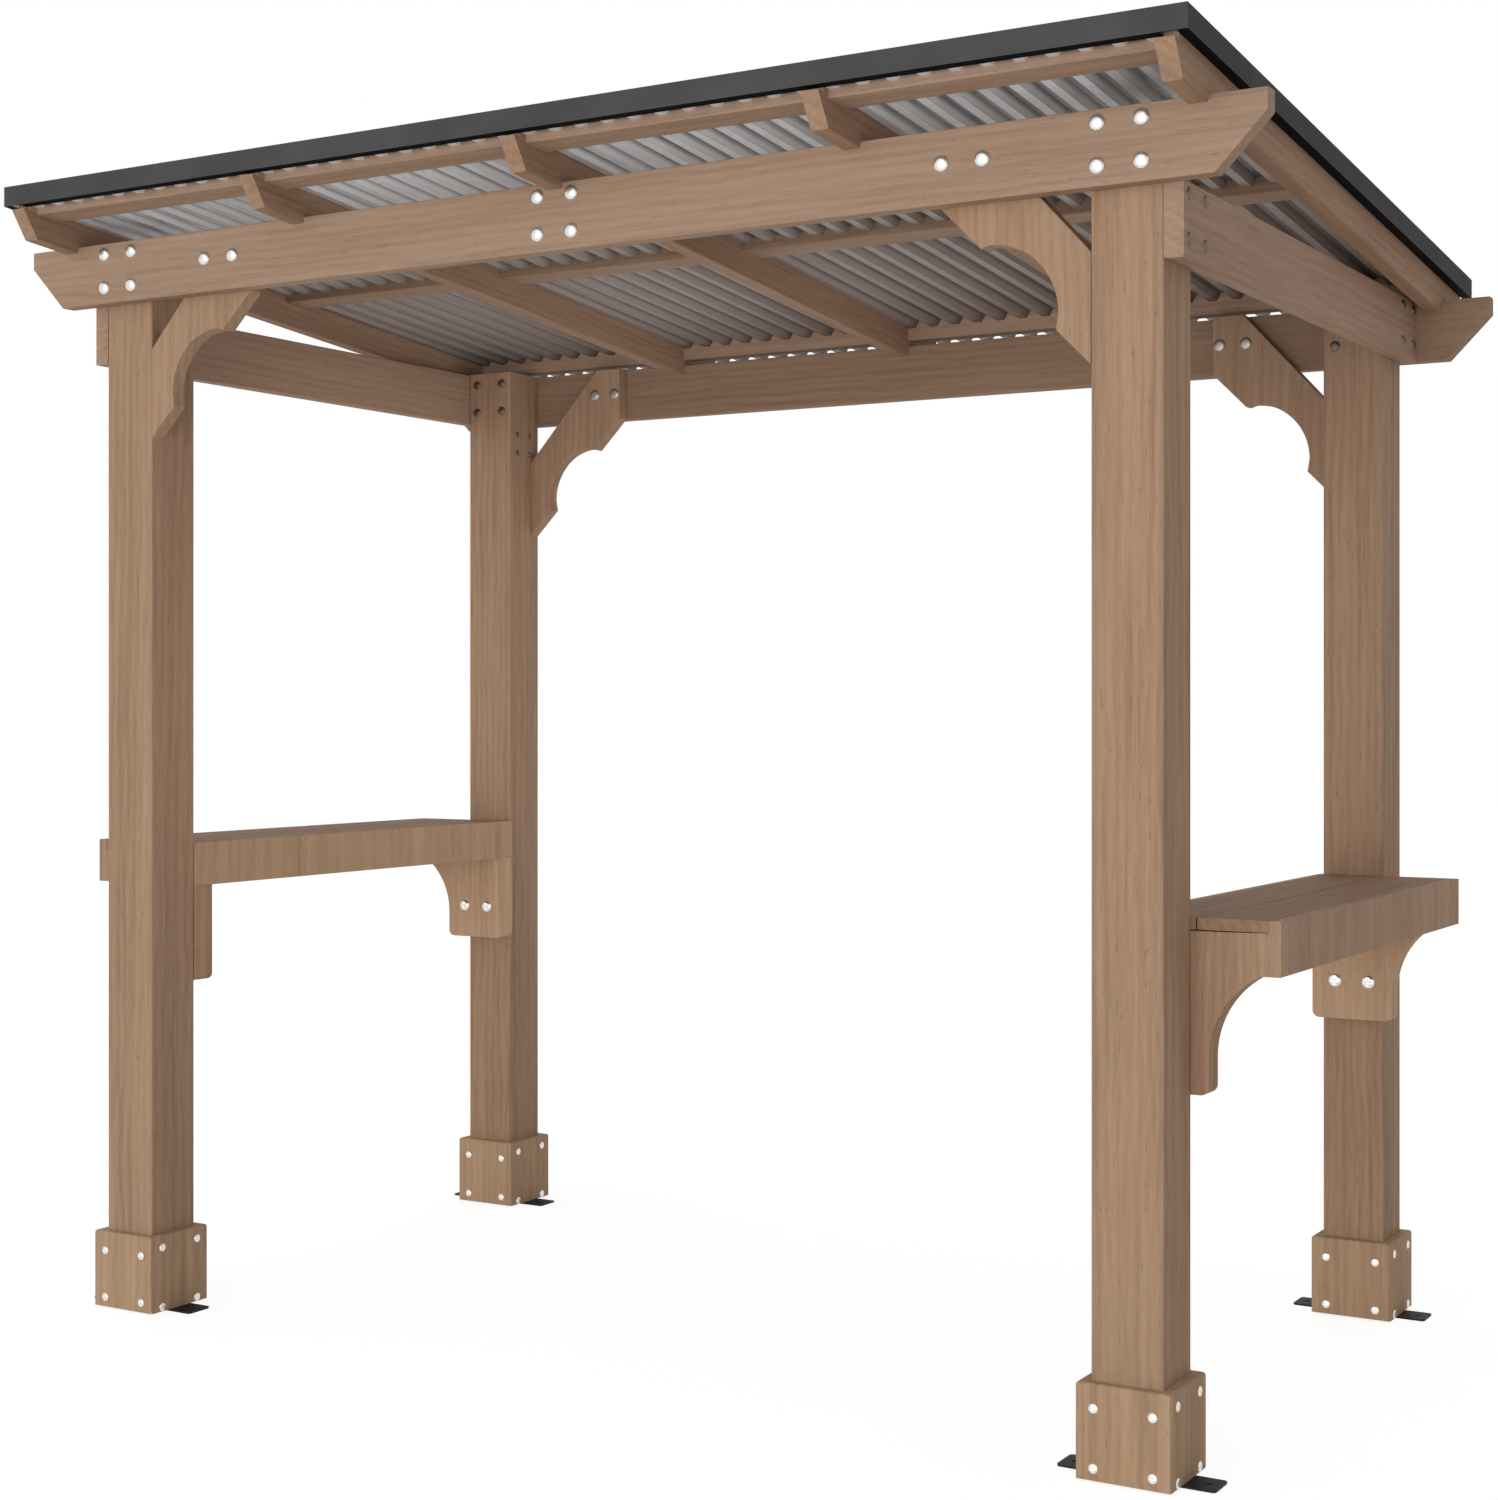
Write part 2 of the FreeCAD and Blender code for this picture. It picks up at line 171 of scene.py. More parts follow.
# Cedar, planed and stained: a warm tan with darker rings and streaks along the grain. The
# fibres catch the light unevenly, so the surface is dull with a broken, silky sheen.
def cedar(name, turn, pale="#B2947B", mid="#A2846B", dark="#8C6E58", stave=0.0, contrast=0.1):
    """Grain turned from upright by the given degrees, with staves of a given width where asked."""
    material, tree, surface = new_material(name)
    place = add(tree, "ShaderNodeTexCoord", {})
    # Each piece is cut from a place of its own in the trunk, off the heart.
    from_heart = 0.11
    across_trunk = 0.42
    along_trunk = 17.3
    board = add(tree, "ShaderNodeObjectInfo", {})
    spread = add(tree, "ShaderNodeCombineXYZ", {"Y": from_heart})
    across = add(
        tree, "ShaderNodeMath", {"operation": "MULTIPLY", 1: across_trunk}, {0: board.outputs["Random"]}
    )
    lengthwise = add(
        tree, "ShaderNodeMath", {"operation": "MULTIPLY", 1: along_trunk}, {0: board.outputs["Random"]}
    )
    tree.links.new(across.outputs[0], spread.inputs["X"])
    tree.links.new(lengthwise.outputs[0], spread.inputs["Z"])
    upright = add(
        tree,
        "ShaderNodeMapping",
        {"Rotation": [math.radians(angle) for angle in turn]},
        {"Vector": place.outputs["Object"], "Location": spread.outputs[0]},
    )
    # The trunk leans a little from the board, so flat faces show long pointed arches.
    lean = add(
        tree,
        "ShaderNodeMapping",
        {"Rotation": (math.radians(1.9), math.radians(-1.4), 0), "Scale": (1, 1, 0.35)},
        {"Vector": upright.outputs[0]},
    )
    # Growth rings, drawn about 19 mm apart where cedar has 2 to 4, so that they show. At a
    # scale of 1 the wave texture repeats every 314 mm.
    ring_gap = 0.019
    wave_repeat = 0.314
    rings = add(
        tree,
        "ShaderNodeTexWave",
        {
            "wave_type": "RINGS",
            "rings_direction": "Z",
            "wave_profile": "SIN",
            "Scale": wave_repeat / ring_gap,
            "Distortion": 7,
            "Detail": 3,
            "Detail Scale": 0.6,
            "Detail Roughness": 0.6,
        },
        {"Vector": lean.outputs[0]},
    )
    # Each layer of the grain: its width and length in metres, its detail and its share.
    layers = (
        (0.0025, 0.09, 4, 0.26),
        (0.011, 0.38, 3, 0.3),
        (0.07, 0.9, 2, 0.3),
    )
    ring_share = 0.07
    depth = add(
        tree, "ShaderNodeMath", {"operation": "MULTIPLY", 1: ring_share}, {0: rings.outputs["Fac"]}
    ).outputs[0]
    for width, length, detail, share in layers:
        stretch = add(
            tree,
            "ShaderNodeMapping",
            {"Scale": (1 / width, 1 / width, 1 / length)},
            {"Vector": upright.outputs[0]},
        )
        streaks = add(
            tree,
            "ShaderNodeTexNoise",
            {"Scale": 1, "Detail": detail, "Roughness": 0.6},
            {"Vector": stretch.outputs[0]},
        )
        if width == layers[0][0]:
            fibres = streaks
        depth = add(
            tree,
            "ShaderNodeMath",
            {"operation": "MULTIPLY_ADD", 1: share},
            {0: streaks.outputs["Fac"], 2: depth},
        ).outputs[0]
    if stave:
        # Straight bands of growth, each as wide as given.
        parts = add(tree, "ShaderNodeSeparateXYZ", {}, {0: upright.outputs[0]})
        both = add(tree, "ShaderNodeMath", {"operation": "ADD"}, {0: parts.outputs[0], 1: parts.outputs[1]})
        steps = add(tree, "ShaderNodeMath", {"operation": "SNAP", 1: stave}, {0: both.outputs[0]})
        shade = add(tree, "ShaderNodeTexWhiteNoise", {"noise_dimensions": "1D"}, {"W": steps.outputs[0]})
        depth = add(
            tree,
            "ShaderNodeMath",
            {"operation": "MULTIPLY_ADD", 1: contrast},
            {0: shade.outputs["Value"], 2: depth},
        ).outputs[0]
    # Short resin flecks, drawn 4 mm wide and 30 mm long where the real ones are half that.
    fleck_width = 0.004
    fleck_length = 0.03
    fleck_space = add(
        tree,
        "ShaderNodeMapping",
        {"Scale": (1 / fleck_width, 1 / fleck_width, 1 / fleck_length)},
        {"Vector": upright.outputs[0]},
    )
    flecks = add(tree, "ShaderNodeTexNoise", {"Scale": 1, "Detail": 1}, {"Vector": fleck_space.outputs[0]})
    fleck = add(
        tree,
        "ShaderNodeMapRange",
        {"From Min": 0.68, "From Max": 0.76, "To Min": 0, "To Max": 0.15},
        {"Value": flecks.outputs["Fac"]},
    )
    marked = add(tree, "ShaderNodeMath", {"operation": "SUBTRACT"}, {0: depth, 1: fleck.outputs["Result"]})
    colour = ramp(tree, marked.outputs[0], [(0.3, dark), (0.47, mid), (0.66, pale)])
    surface_relief = add(
        tree, "ShaderNodeBump", {"Strength": 0.2, "Distance": 0.0004}, {"Height": fibres.outputs["Fac"]}
    )
    sheen = add(
        tree,
        "ShaderNodeMapRange",
        {"From Min": 0.3, "From Max": 0.7, "To Min": 0.74, "To Max": 0.62},
        {"Value": fibres.outputs["Fac"]},
    )
    tree.links.new(colour.outputs["Color"], surface.inputs["Base Color"])
    tree.links.new(sheen.outputs["Result"], surface.inputs["Roughness"])
    tree.links.new(surface_relief.outputs["Normal"], surface.inputs["Normal"])
    surface.inputs["Specular IOR Level"].default_value = 0.1
    return material


upright_cedar = cedar("cedar post, planed and stained, grain upright", (0, 0, 0))
dress(upright_cedar, *("post_" + corner for corner in CORNERS))

# Base trims
# Four cedar boards round the foot of each post, mitred at the corners and bevelled on top.
# Two screws near the top and two near the foot of each board hold them to the post.
trim_screw_spread = 0.057
front_screw_heights = (0.026, 0.135)
side_screw_heights = (0.014, 0.152)
trim_screw_size = 0.019
trim_screw_proud = 0.0026


def put_in_scene(name, shape, finish):
    """Makes a piece of the object from a bmesh."""
    data = bpy.data.meshes.new(name)
    shape.to_mesh(data)
    shape.free()
    data.materials.append(finish)
    piece = bpy.data.objects.new(name, data)
    bpy.context.scene.collection.objects.link(piece)
    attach(piece, "root")
    return piece


def screw_heads(name, places, size, proud, finish, recess=0.35):
    """One mesh of domed heads from (place, outward direction) pairs.

    The cross recess is a share of the head's rise, and 0 makes a plain dome.
    """
    segments = 32
    recess_reach = 0.55
    groove = recess * proud
    # Radius and height of the rings from the crown to the foot, as shares of the head.
    profile = ((0.16, 1.0), (0.34, 0.97), (0.5, 0.92), (0.56, 0.9), (0.8, 0.72), (0.94, 0.42), (1.0, 0.0))
    shape = bmesh.new()
    for spot, outward in places:
        stand = Matrix.Translation(spot) @ outward.to_track_quat("Z", "Y").to_matrix().to_4x4()
        crown = shape.verts.new(stand @ Vector((0, 0, proud - groove)))
        rings = []
        for radius, height in profile:
            ring = []
            for i in range(segments):
                angle = 2 * math.pi * i / segments
                cut = groove if i % (segments // 4) == 0 and radius < recess_reach else 0
                r = radius * size / 2
                ring.append(shape.verts.new(
                    stand @ Vector((r * math.cos(angle), r * math.sin(angle), height * proud - cut))
                ))
            rings.append(ring)
        for i in range(segments):
            k = (i + 1) % segments
            shape.faces.new((crown, rings[0][i], rings[0][k]))
            for inner, outer in zip(rings, rings[1:]):
                shape.faces.new((inner[i], outer[i], outer[k], inner[k]))
    for face in shape.faces:
        face.smooth = True
    put_in_scene(name, shape, finish)


def plated(name, dark, pale, polish_from, polish_to):
    """Zinc plated steel with a tumbled grit about 1.2 mm across."""
    grit_size = 0.0012
    material, tree, surface = new_material(name)
    place = add(tree, "ShaderNodeTexCoord", {}).outputs["Object"]
    grit = add(tree, "ShaderNodeTexNoise", {"Scale": 1 / grit_size, "Detail": 2}, {"Vector": place})
    shade = ramp(tree, grit.outputs["Fac"], [(0.3, dark), (0.7, pale)])
    polish = add(
        tree,
        "ShaderNodeMapRange",
        {"From Min": 0.3, "From Max": 0.7, "To Min": polish_from, "To Max": polish_to},
        {"Value": grit.outputs["Fac"]},
    )
    tree.links.new(shade.outputs["Color"], surface.inputs["Base Color"])
    tree.links.new(polish.outputs["Result"], surface.inputs["Roughness"])
    surface.inputs["Metallic"].default_value = 1
    return material


# Zinc plated steel: a bright, faintly warm white metal, tumbled to a soft polish.
zinc = plated("zinc plated steel, tumbled", "#D6D3CE", "#E6E3DE", 0.38, 0.26)

# Cedar board: straight staves of growth about 46 mm wide show as soft upright bands.
board_cedar = cedar(
    "cedar board, planed and stained, grain upright",
    (0, 0, 0),
    "#BB9D80",
    "#AB8D70",
    "#957860",
    stave=0.046,
    contrast=0.05,
)
dress(board_cedar, *("base_trim_" + corner for corner in CORNERS))
places = []
for corner in CORNERS:
    low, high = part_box("base_trim_" + corner)
    middle = (low + high) / 2
    reach = (high.x - low.x) / 2
    for outward in (Vector((1, 0, 0)), Vector((-1, 0, 0)), Vector((0, 1, 0)), Vector((0, -1, 0))):
        sideways = outward.cross(Vector((0, 0, 1)))
        for height in side_screw_heights if outward.x else front_screw_heights:
            for side in (-1, 1):
                spot = Vector((middle.x, middle.y, height)) + outward * reach
                places.append((spot + sideways * side * trim_screw_spread, outward))
screw_heads("base_trim_screws", places, trim_screw_size, trim_screw_proud, zinc)

# Long beams
# Nominal two by six cedar planks on the outer faces of the posts, with undercut ends.
# Each is held by four round-headed bolts to a post, four to the middle rafter and two to
# each knee brace, all zinc plated.

# Cedar beam: the same wood a shade greyer, with its grain lying along the beam. The back
# beam gets a darker copy of it, as painted shade under the roof.
beam_cedar = cedar(
    "cedar beam, planed and stained, grain along the beam", (0, -90, 0), "#AE9380", "#A18671", "#8F7562"
)
dress(beam_cedar, "front_beam")
shaded_beam_cedar = cedar(
    "cedar beam, smoked and stained, grain along the beam", (0, -90, 0), "#A08570", "#937863", "#826855"
)
dress(shaded_beam_cedar, "back_beam")
bolt_size = 0.033
bolt_proud = 0.0085
bolt_spread = 0.0425
bolt_rise = 0.039
bolt_lift = 0.006
brace_bolts = {"front_beam": (0.2, 0.284), "back_beam": (0.221, 0.287)}
post_middles = [sum(box.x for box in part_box("post_" + corner)) / 2 for corner in CORNERS[:2]]
inner_faces = (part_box("post_front_left")[1].x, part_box("post_front_right")[0].x)


def beam_bolts(beam, face, outward):
    """Places of the bolts in a long beam, each with the way it faces."""
    low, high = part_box(beam)
    middle = (low.z + high.z) / 2 + bolt_lift
    places = []
    for x in (post_middles[0], 0, post_middles[1]):
        for side in (-1, 1):
            for level in (-1, 1):
                spot = Vector((x + side * bolt_spread, face, middle + level * bolt_rise))
                places.append((spot, outward))
    for inner, inward in zip(inner_faces, (1, -1)):
        for run in brace_bolts[beam]:
            places.append((Vector((inner + inward * run, face, middle)), outward))
    return places


forward = Vector((0, -1, 0))
backward = Vector((0, 1, 0))
front_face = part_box("front_beam")[0].y
back_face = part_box("back_beam")[1].y
screw_heads("front_beam_bolts", beam_bolts("front_beam", front_face, forward), bolt_size, bolt_proud, zinc, 0)
screw_heads("back_beam_bolts", beam_bolts("back_beam", back_face, backward), bolt_size, bolt_proud, zinc, 0)

# Inner ends of the same bolts: low round nuts on the inner faces of the posts. They get a
# dark brown-grey copy of the zinc, as painted shade, so they hardly stand out from the wood.
shade_dark_zinc = plated("zinc plated steel, darkened for painted shade", "#665C53", "#7B7168", 0.6, 0.5)
nut_size = 0.024
nut_proud = 0.005
places = []
for corner in CORNERS:
    low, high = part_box("post_" + corner)
    beam_low, beam_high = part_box("front_beam" if "front" in corner else "back_beam")
    middle = (beam_low.z + beam_high.z) / 2
    face = high.y if "front" in corner else low.y
    outward = backward if "front" in corner else forward
    for side in (-1, 1):
        for level in (-1, 1):
            spot = Vector(((low.x + high.x) / 2 + side * bolt_spread, face, middle + level * bolt_rise))
            places.append((spot, outward))
screw_heads("post_nuts", places, nut_size, nut_proud, shade_dark_zinc, 0)

# Side beams
# Cedar planks as high as the long beams, outside the posts and a beam lower at the front.
# Four bolts hold each end to a post, two over two. Their zinc gets the same painted shade as the nuts.
side_cedar = cedar(
    "cedar beam, planed and stained, grain front to back", (90, 0, 0), "#B19481", "#A38671", "#917460"
)
dress(side_cedar, "side_beam_left", "side_beam_right")
side_bolt_lift = 0.007
side_bolt_rise = 0.0405
places = []
for side, sign in (("left", -1), ("right", 1)):
    low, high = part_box("side_beam_" + side)
    middle = (low.z + high.z) / 2 + side_bolt_lift
    face = low.x if sign < 0 else high.x
    for depth in ("front", "back"):
        post_low, post_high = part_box("post_" + depth + "_" + side)
        for offset in (-1, 1):
            for level in (-1, 1):
                y = (post_low.y + post_high.y) / 2 + offset * bolt_spread
                places.append((Vector((face, y, middle + level * side_bolt_rise)), Vector((sign, 0, 0))))
screw_heads("side_beam_bolts", places, nut_size, nut_proud, shade_dark_zinc, 0)

# Knee braces
# Planks with a quarter-round scallop, band sawn and eased along the rim. The grain is
# upright. Two nuts stand on each brace at the beam, and on the back braces four small
# screws hold the foot.

dress(upright_cedar, *("knee_brace_" + corner for corner in CORNERS))
# A greyer copy of the zinc for the nuts on the braces, inside the frame, as painted shade.
shade_grey_zinc = plated("zinc plated steel, greyed for painted shade", "#A39C94", "#B8B1A9", 0.5, 0.4)
brace_nut_size = 0.03
foot_screw_size = 0.016
foot_screw_proud = 0.003
foot_screw_drops = (0.173, 0.226)
foot_screw_offsets = (0.042, 0.103)
nut_places = []
screw_places = []
for corner in CORNERS:
    low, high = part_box("knee_brace_" + corner)
    front = "front" in corner
    beam = "front_beam" if front else "back_beam"
    middle = sum(box.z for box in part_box(beam)) / 2
    inward = 1 if "left" in corner else -1
    inner = inner_faces[0] if "left" in corner else inner_faces[1]
    for run in brace_bolts[beam]:
        face = high.y if front else low.y
        nut_places.append((Vector((inner + inward * run, face, middle)), backward if front else forward))
    if front:
        continue
    for drop in foot_screw_drops:
        for offset in foot_screw_offsets:
            screw_places.append((Vector((inner, high.y - offset, high.z - drop)), Vector((inward, 0, 0))))
screw_heads("brace_nuts", nut_places, brace_nut_size, nut_proud, shade_grey_zinc, 0)
screw_heads("brace_foot_screws", screw_places, foot_screw_size, foot_screw_proud, shade_dark_zinc)

# Rafters and blocking
# Five narrow cedar rafters on edge, notched over both beams and raked at the tails, with
# three rows of blocking nailed between them for the sheets to lie on.
roof_fall = 5.33
rafter_cedar = cedar(
    "cedar rafter, planed and stained, grain down the slope",
    (90 + roof_fall, 0, 0),
    "#AD8F78",
    "#9E8069",
    "#8A6C57",
)
dress(rafter_cedar, *("rafter_%d" % number for number in range(1, 6)))
dress(beam_cedar, "blocking_front", "blocking_middle")

# Back blocking
# The same strips over the back beam, ripped narrower on their lower edge. Daylight shows
# through the slot that this leaves, as a row of dashes under the ribs of the sheets.
blocking_rip = 0.005
lower_edge_band = 0.005
strips = bmesh.new()
strips.from_mesh(nodes["blocking_back"].data)
slope = math.tan(math.radians(roof_fall))
low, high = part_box("blocking_back")
for corner in strips.verts:
    over_sill = corner.co.z - (low.z + slope * (high.y - corner.co.y))
    if over_sill < lower_edge_band:
        corner.co.z += blocking_rip
blocking = put_in_scene("back_blocking_strips", strips, beam_cedar)
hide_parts("blocking_back")

# Roof sheets
# Steel sheet, hot dipped in zinc and rolled into ribs 63 mm apart, one sheet to a bay.
# They lie on the rafters and the blocking and lap each other over a rafter.

# Galvanised steel, bare: a pale silvery grey with a faint spangle of zinc crystals about
# 12 mm across. On the underside the crests of the ribs, the sheet inside the frame and the
# sheet over the back beam are painted darker as painted shade, and the rib walls brighter as painted light.
galvanised, tree, surface = new_material("galvanised steel sheet, roll formed")
place = add(tree, "ShaderNodeTexCoord", {})
crystal = 0.012
spangle = add(tree, "ShaderNodeTexVoronoi", {"Scale": 1 / crystal}, {"Vector": place.outputs["Object"]})
grain = add(tree, "ShaderNodeSeparateXYZ", {}, {0: spangle.outputs["Color"]})
shade = ramp(tree, grain.outputs[0], [(0.0, "#CDCDD0"), (1.0, "#D6D6D9")])
# The crest of each rib is painted darker, as painted shade, in a band as wide as the crest.
first_rib, last_rib = (sum(box.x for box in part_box(name)) / 2 for name in ("rafter_1", "rafter_5"))
ribs_across = 44
rib_pitch = (last_rib - first_rib) / ribs_across
across = add(tree, "ShaderNodeSeparateXYZ", {}, {0: place.outputs["Object"]})
counted = add(
    tree,
    "ShaderNodeMath",
    {"operation": "MULTIPLY_ADD", 1: 1 / rib_pitch, 2: 0.5 - first_rib / rib_pitch},
    {0: across.outputs[0]},
)
within = add(tree, "ShaderNodeMath", {"operation": "FRACT"}, {0: counted.outputs[0]})
off_centre = add(tree, "ShaderNodeMath", {"operation": "SUBTRACT", 1: 0.5}, {0: within.outputs[0]})
from_crest = add(tree, "ShaderNodeMath", {"operation": "ABSOLUTE"}, {0: off_centre.outputs[0]})
crest_half = 0.011
crest_fade = 1.5
crest_shade_strength = 0.85
crest = add(
    tree,
    "ShaderNodeMapRange",
    {
        "From Min": crest_half / rib_pitch,
        "From Max": crest_fade * crest_half / rib_pitch,
        "To Min": crest_shade_strength,
        "To Max": 0,
    },
    {"Value": from_crest.outputs[0]},
)
# Only the underside gets the painted shade; the top of the roof keeps its plain colour.
shape_of_sheet = add(tree, "ShaderNodeNewGeometry", {})
facing = add(tree, "ShaderNodeSeparateXYZ", {}, {0: shape_of_sheet.outputs["True Normal"]})
under = add(tree, "ShaderNodeMath", {"operation": "LESS_THAN", 1: 0}, {0: facing.outputs[2]})
# The walls of the ribs are painted brighter than the flats, as painted light. The walls end
# 21.5 mm from the middle of the crest.
wall_begins = 1.2
wall_foot = 0.0215
wall_fade = 0.93
wall_start = add(
    tree,
    "ShaderNodeMapRange",
    {
        "From Min": wall_begins * crest_half / rib_pitch,
        "From Max": crest_fade * crest_half / rib_pitch,
    },
    {"Value": from_crest.outputs[0]},
)
wall_end = add(
    tree,
    "ShaderNodeMapRange",
    {
        "From Min": wall_fade * wall_foot / rib_pitch,
        "From Max": wall_foot / rib_pitch,
        "To Min": 1,
        "To Max": 0,
    },
    {"Value": from_crest.outputs[0]},
)
wall = add(
    tree,
    "ShaderNodeMath",
    {"operation": "MULTIPLY"},
    {0: wall_start.outputs["Result"], 1: wall_end.outputs["Result"]},
)
painted_light_walls = add(
    tree,
    "ShaderNodeMix",
    {"data_type": "RGBA", 7: linear("#E2E2E4")},
    {0: wall.outputs[0], 6: shade.outputs["Color"]},
)
# The painted shade on the crests comes and goes along the rib, over about 300 mm, and from rib to rib.
patch_width = 0.02
patch_length = 0.3
along_rib = add(
    tree,
    "ShaderNodeMapping",
    {"Scale": (1 / patch_width, 1 / patch_length, 1)},
    {"Vector": place.outputs["Object"]},
)
patches = add(tree, "ShaderNodeTexNoise", {"Scale": 1, "Detail": 2}, {"Vector": along_rib.outputs[0]})
amount = add(
    tree,
    "ShaderNodeMapRange",
    {"From Min": 0.3, "From Max": 0.7, "To Min": 0.5, "To Max": 1},
    {"Value": patches.outputs["Fac"]},
)
streak = add(
    tree,
    "ShaderNodeMath",
    {"operation": "MULTIPLY"},
    {0: crest.outputs["Result"], 1: amount.outputs["Result"]},
)
crest_shade = add(tree, "ShaderNodeMath", {"operation": "MULTIPLY"}, {0: streak.outputs[0], 1: under.outputs[0]})
# Inside the frame the sheet is painted darker and browner, as painted shade under the roof, and not at the
# front eave.
inner_shade_fades_over = 0.35
inner_shade_strength = 0.82
reach_in = add(
    tree,
    "ShaderNodeMapRange",
    {"From Min": front_face, "From Max": front_face + inner_shade_fades_over, "To Min": 0, "To Max": inner_shade_strength},
    {"Value": across.outputs[1]},
)
inner_shade = add(
    tree, "ShaderNodeMath", {"operation": "MULTIPLY"}, {0: reach_in.outputs["Result"], 1: under.outputs[0]}
)
inner_shaded = add(
    tree,
    "ShaderNodeMix",
    {"data_type": "RGBA", 7: linear("#796659")},
    {0: inner_shade.outputs[0], 6: painted_light_walls.outputs[2]},
)
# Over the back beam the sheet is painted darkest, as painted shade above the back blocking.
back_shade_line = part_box("back_beam")[0].y
back_shade_fades_over = 0.05
back_shade_strength = 0.85
back_shade = add(
    tree,
    "ShaderNodeMapRange",
    {"From Min": back_shade_line - back_shade_fades_over, "From Max": back_shade_line, "To Min": 0, "To Max": back_shade_strength},
    {"Value": across.outputs[1]},
)
back_eave_shade = add(
    tree, "ShaderNodeMath", {"operation": "MULTIPLY"}, {0: back_shade.outputs["Result"], 1: under.outputs[0]}
)
all_painted_shade = add(
    tree, "ShaderNodeMath", {"operation": "MAXIMUM"}, {0: crest_shade.outputs[0], 1: back_eave_shade.outputs[0]}
)
painted_shade_mix = add(
    tree,
    "ShaderNodeMix",
    {"data_type": "RGBA", 7: linear("#4C4441")},
    {0: all_painted_shade.outputs[0], 6: inner_shaded.outputs[2]},
)
lustre = add(tree, "ShaderNodeMapRange", {"To Min": 0.42, "To Max": 0.54}, {"Value": grain.outputs[1]})
tree.links.new(painted_shade_mix.outputs[2], surface.inputs["Base Color"])
tree.links.new(lustre.outputs["Result"], surface.inputs["Roughness"])
surface.inputs["Metallic"].default_value = 0.2
dress(galvanised, *("roof_sheet_%d" % number for number in range(1, 5)))

# Roofing screws
# Domed steel screws, zinc plated, driven through the crest of every fourth rib into the
# three rows of blocking. They stand on the weather side only.
roof_screw_size = 0.015
roof_screw_proud = 0.005
first_screwed_rib = 2
screw_every = 4
low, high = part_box("roof_sheet_1")
weather_side = Vector((0, math.sin(math.radians(roof_fall)), math.cos(math.radians(roof_fall))))
places = []
for row in ("blocking_front", "blocking_middle", "blocking_back"):
    y = sum(box.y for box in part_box(row)) / 2
    for rib in range(first_screwed_rib, ribs_across, screw_every):
        spot = Vector((first_rib + rib * rib_pitch, y, high.z - slope * (y - low.y)))
        places.append((spot, weather_side))
screw_heads("roof_screws", places, roof_screw_size, roof_screw_proud, zinc, 0)

# Edge trims
# Steel strip folded to cap the sheets along the front and both sides, with its lower edge
# turned in. The strips are mitred where they meet at the front corners.

# Powder coated charcoal: a matt grey-black skin, so the strip reads as one flat dark band
# over a black line, which is painted shade on the underside of the turned-in lip.
charcoal = powder_coat(
    "powder coated steel, charcoal matt",
    "#474748",
    "#515152",
    dust_size=0.15,
    relief=0.12,
    roughness=0.7,
    shine=0.02,
    underside_shade="#131313",
)
dress(charcoal, "roof_trim_front", "roof_trim_left", "roof_trim_right")

# Shelves
# Two cedar planks on a pair of sawn brackets, closed by a deep board on each long edge.
# Two zinc plated bolts hold each bracket to the inner face of its post.
shelf_bolt_size = 0.031
shelf_bolt_proud = 0.005
shelf_bolt_in = 0.059
shelf_bolt_spread = 0.0385
shelf_bolt_lift = 0.087

# Cedar shelf planks get a darker, browner copy of the wood, as painted shade on the shelf
# tops. The boards on the outer edge show narrow upright staves of growth.
plank_cedar = cedar(
    "cedar shelf plank, worn and stained, grain front to back", (90, 0, 0), "#A4876E", "#947760", "#7F634E"
)
narrow_cedar = cedar(
    "cedar shelf board, planed and stained, grain upright",
    (0, 0, 0),
    "#B3957D",
    "#A4866F",
    "#90735E",
    stave=0.011,
    contrast=0.035,
)
# The back brackets get a paler copy of the wood, as painted light in the shade under the shelves.
lit_bracket_cedar = cedar(
    "cedar bracket, lightened for painted light, grain upright", (0, 0, 0), "#CDAC8D", "#BD9B7E", "#A6856A"
)
dress(plank_cedar, "shelf_planks_left", "shelf_planks_right")
places = []
for side, sign in (("left", -1), ("right", 1)):
    dress(narrow_cedar, "shelf_outer_board_" + side)
    dress(board_cedar, "shelf_inner_board_" + side)
    dress(upright_cedar, "shelf_bracket_front_" + side)
    dress(lit_bracket_cedar, "shelf_bracket_back_" + side)
    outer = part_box("post_front_" + side)[0 if sign < 0 else 1].x
    for depth, outward in (("front", backward), ("back", forward)):
        low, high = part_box("shelf_bracket_" + depth + "_" + side)
        face = high.y if depth == "front" else low.y
        for offset in (-1, 1):
            x = outer - sign * (shelf_bolt_in + offset * shelf_bolt_spread)
            places.append((Vector((x, face, low.z + shelf_bolt_lift)), outward))
screw_heads("shelf_bolts", places, shelf_bolt_size, shelf_bolt_proud, zinc)

# Under the ends of the planks a thin dark strip stands on each bracket, as a painted shadow in
# the joint: a thin dark line that fades out to both ends.
shadow_cedar = cedar("cedar in an open joint, unlit", (90, 0, 0), "#3A2D24", "#30251D", "#261D17")
shadow_tallest = 0.0018
shadow_least = 0.0004
joint_proud = 0.0003
half_steps = 8
shape = bmesh.new()
for side in ("left", "right"):
    low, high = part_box("shelf_planks_" + side)
    spread = (high.x - low.x) / 2
    for depth, toward in (("front", -1), ("back", 1)):
        face = (low.y if toward < 0 else high.y) + toward * joint_proud
        upper = []
        lower = []
        for step in range(-half_steps, half_steps + 1):
            share = step / half_steps
            x = (low.x + high.x) / 2 + spread * share
            shadow_height = shadow_tallest * (1 - share ** 2) + shadow_least
            upper.append(shape.verts.new((x, face, low.z + joint_proud)))
            lower.append(shape.verts.new((x, face, low.z - shadow_height)))
        for i in range(2 * half_steps):
            corners = (upper[i], upper[i + 1], lower[i + 1], lower[i])
            shape.faces.new(corners if toward > 0 else corners[::-1])
put_in_scene("shelf_plank_joints", shape, shadow_cedar)

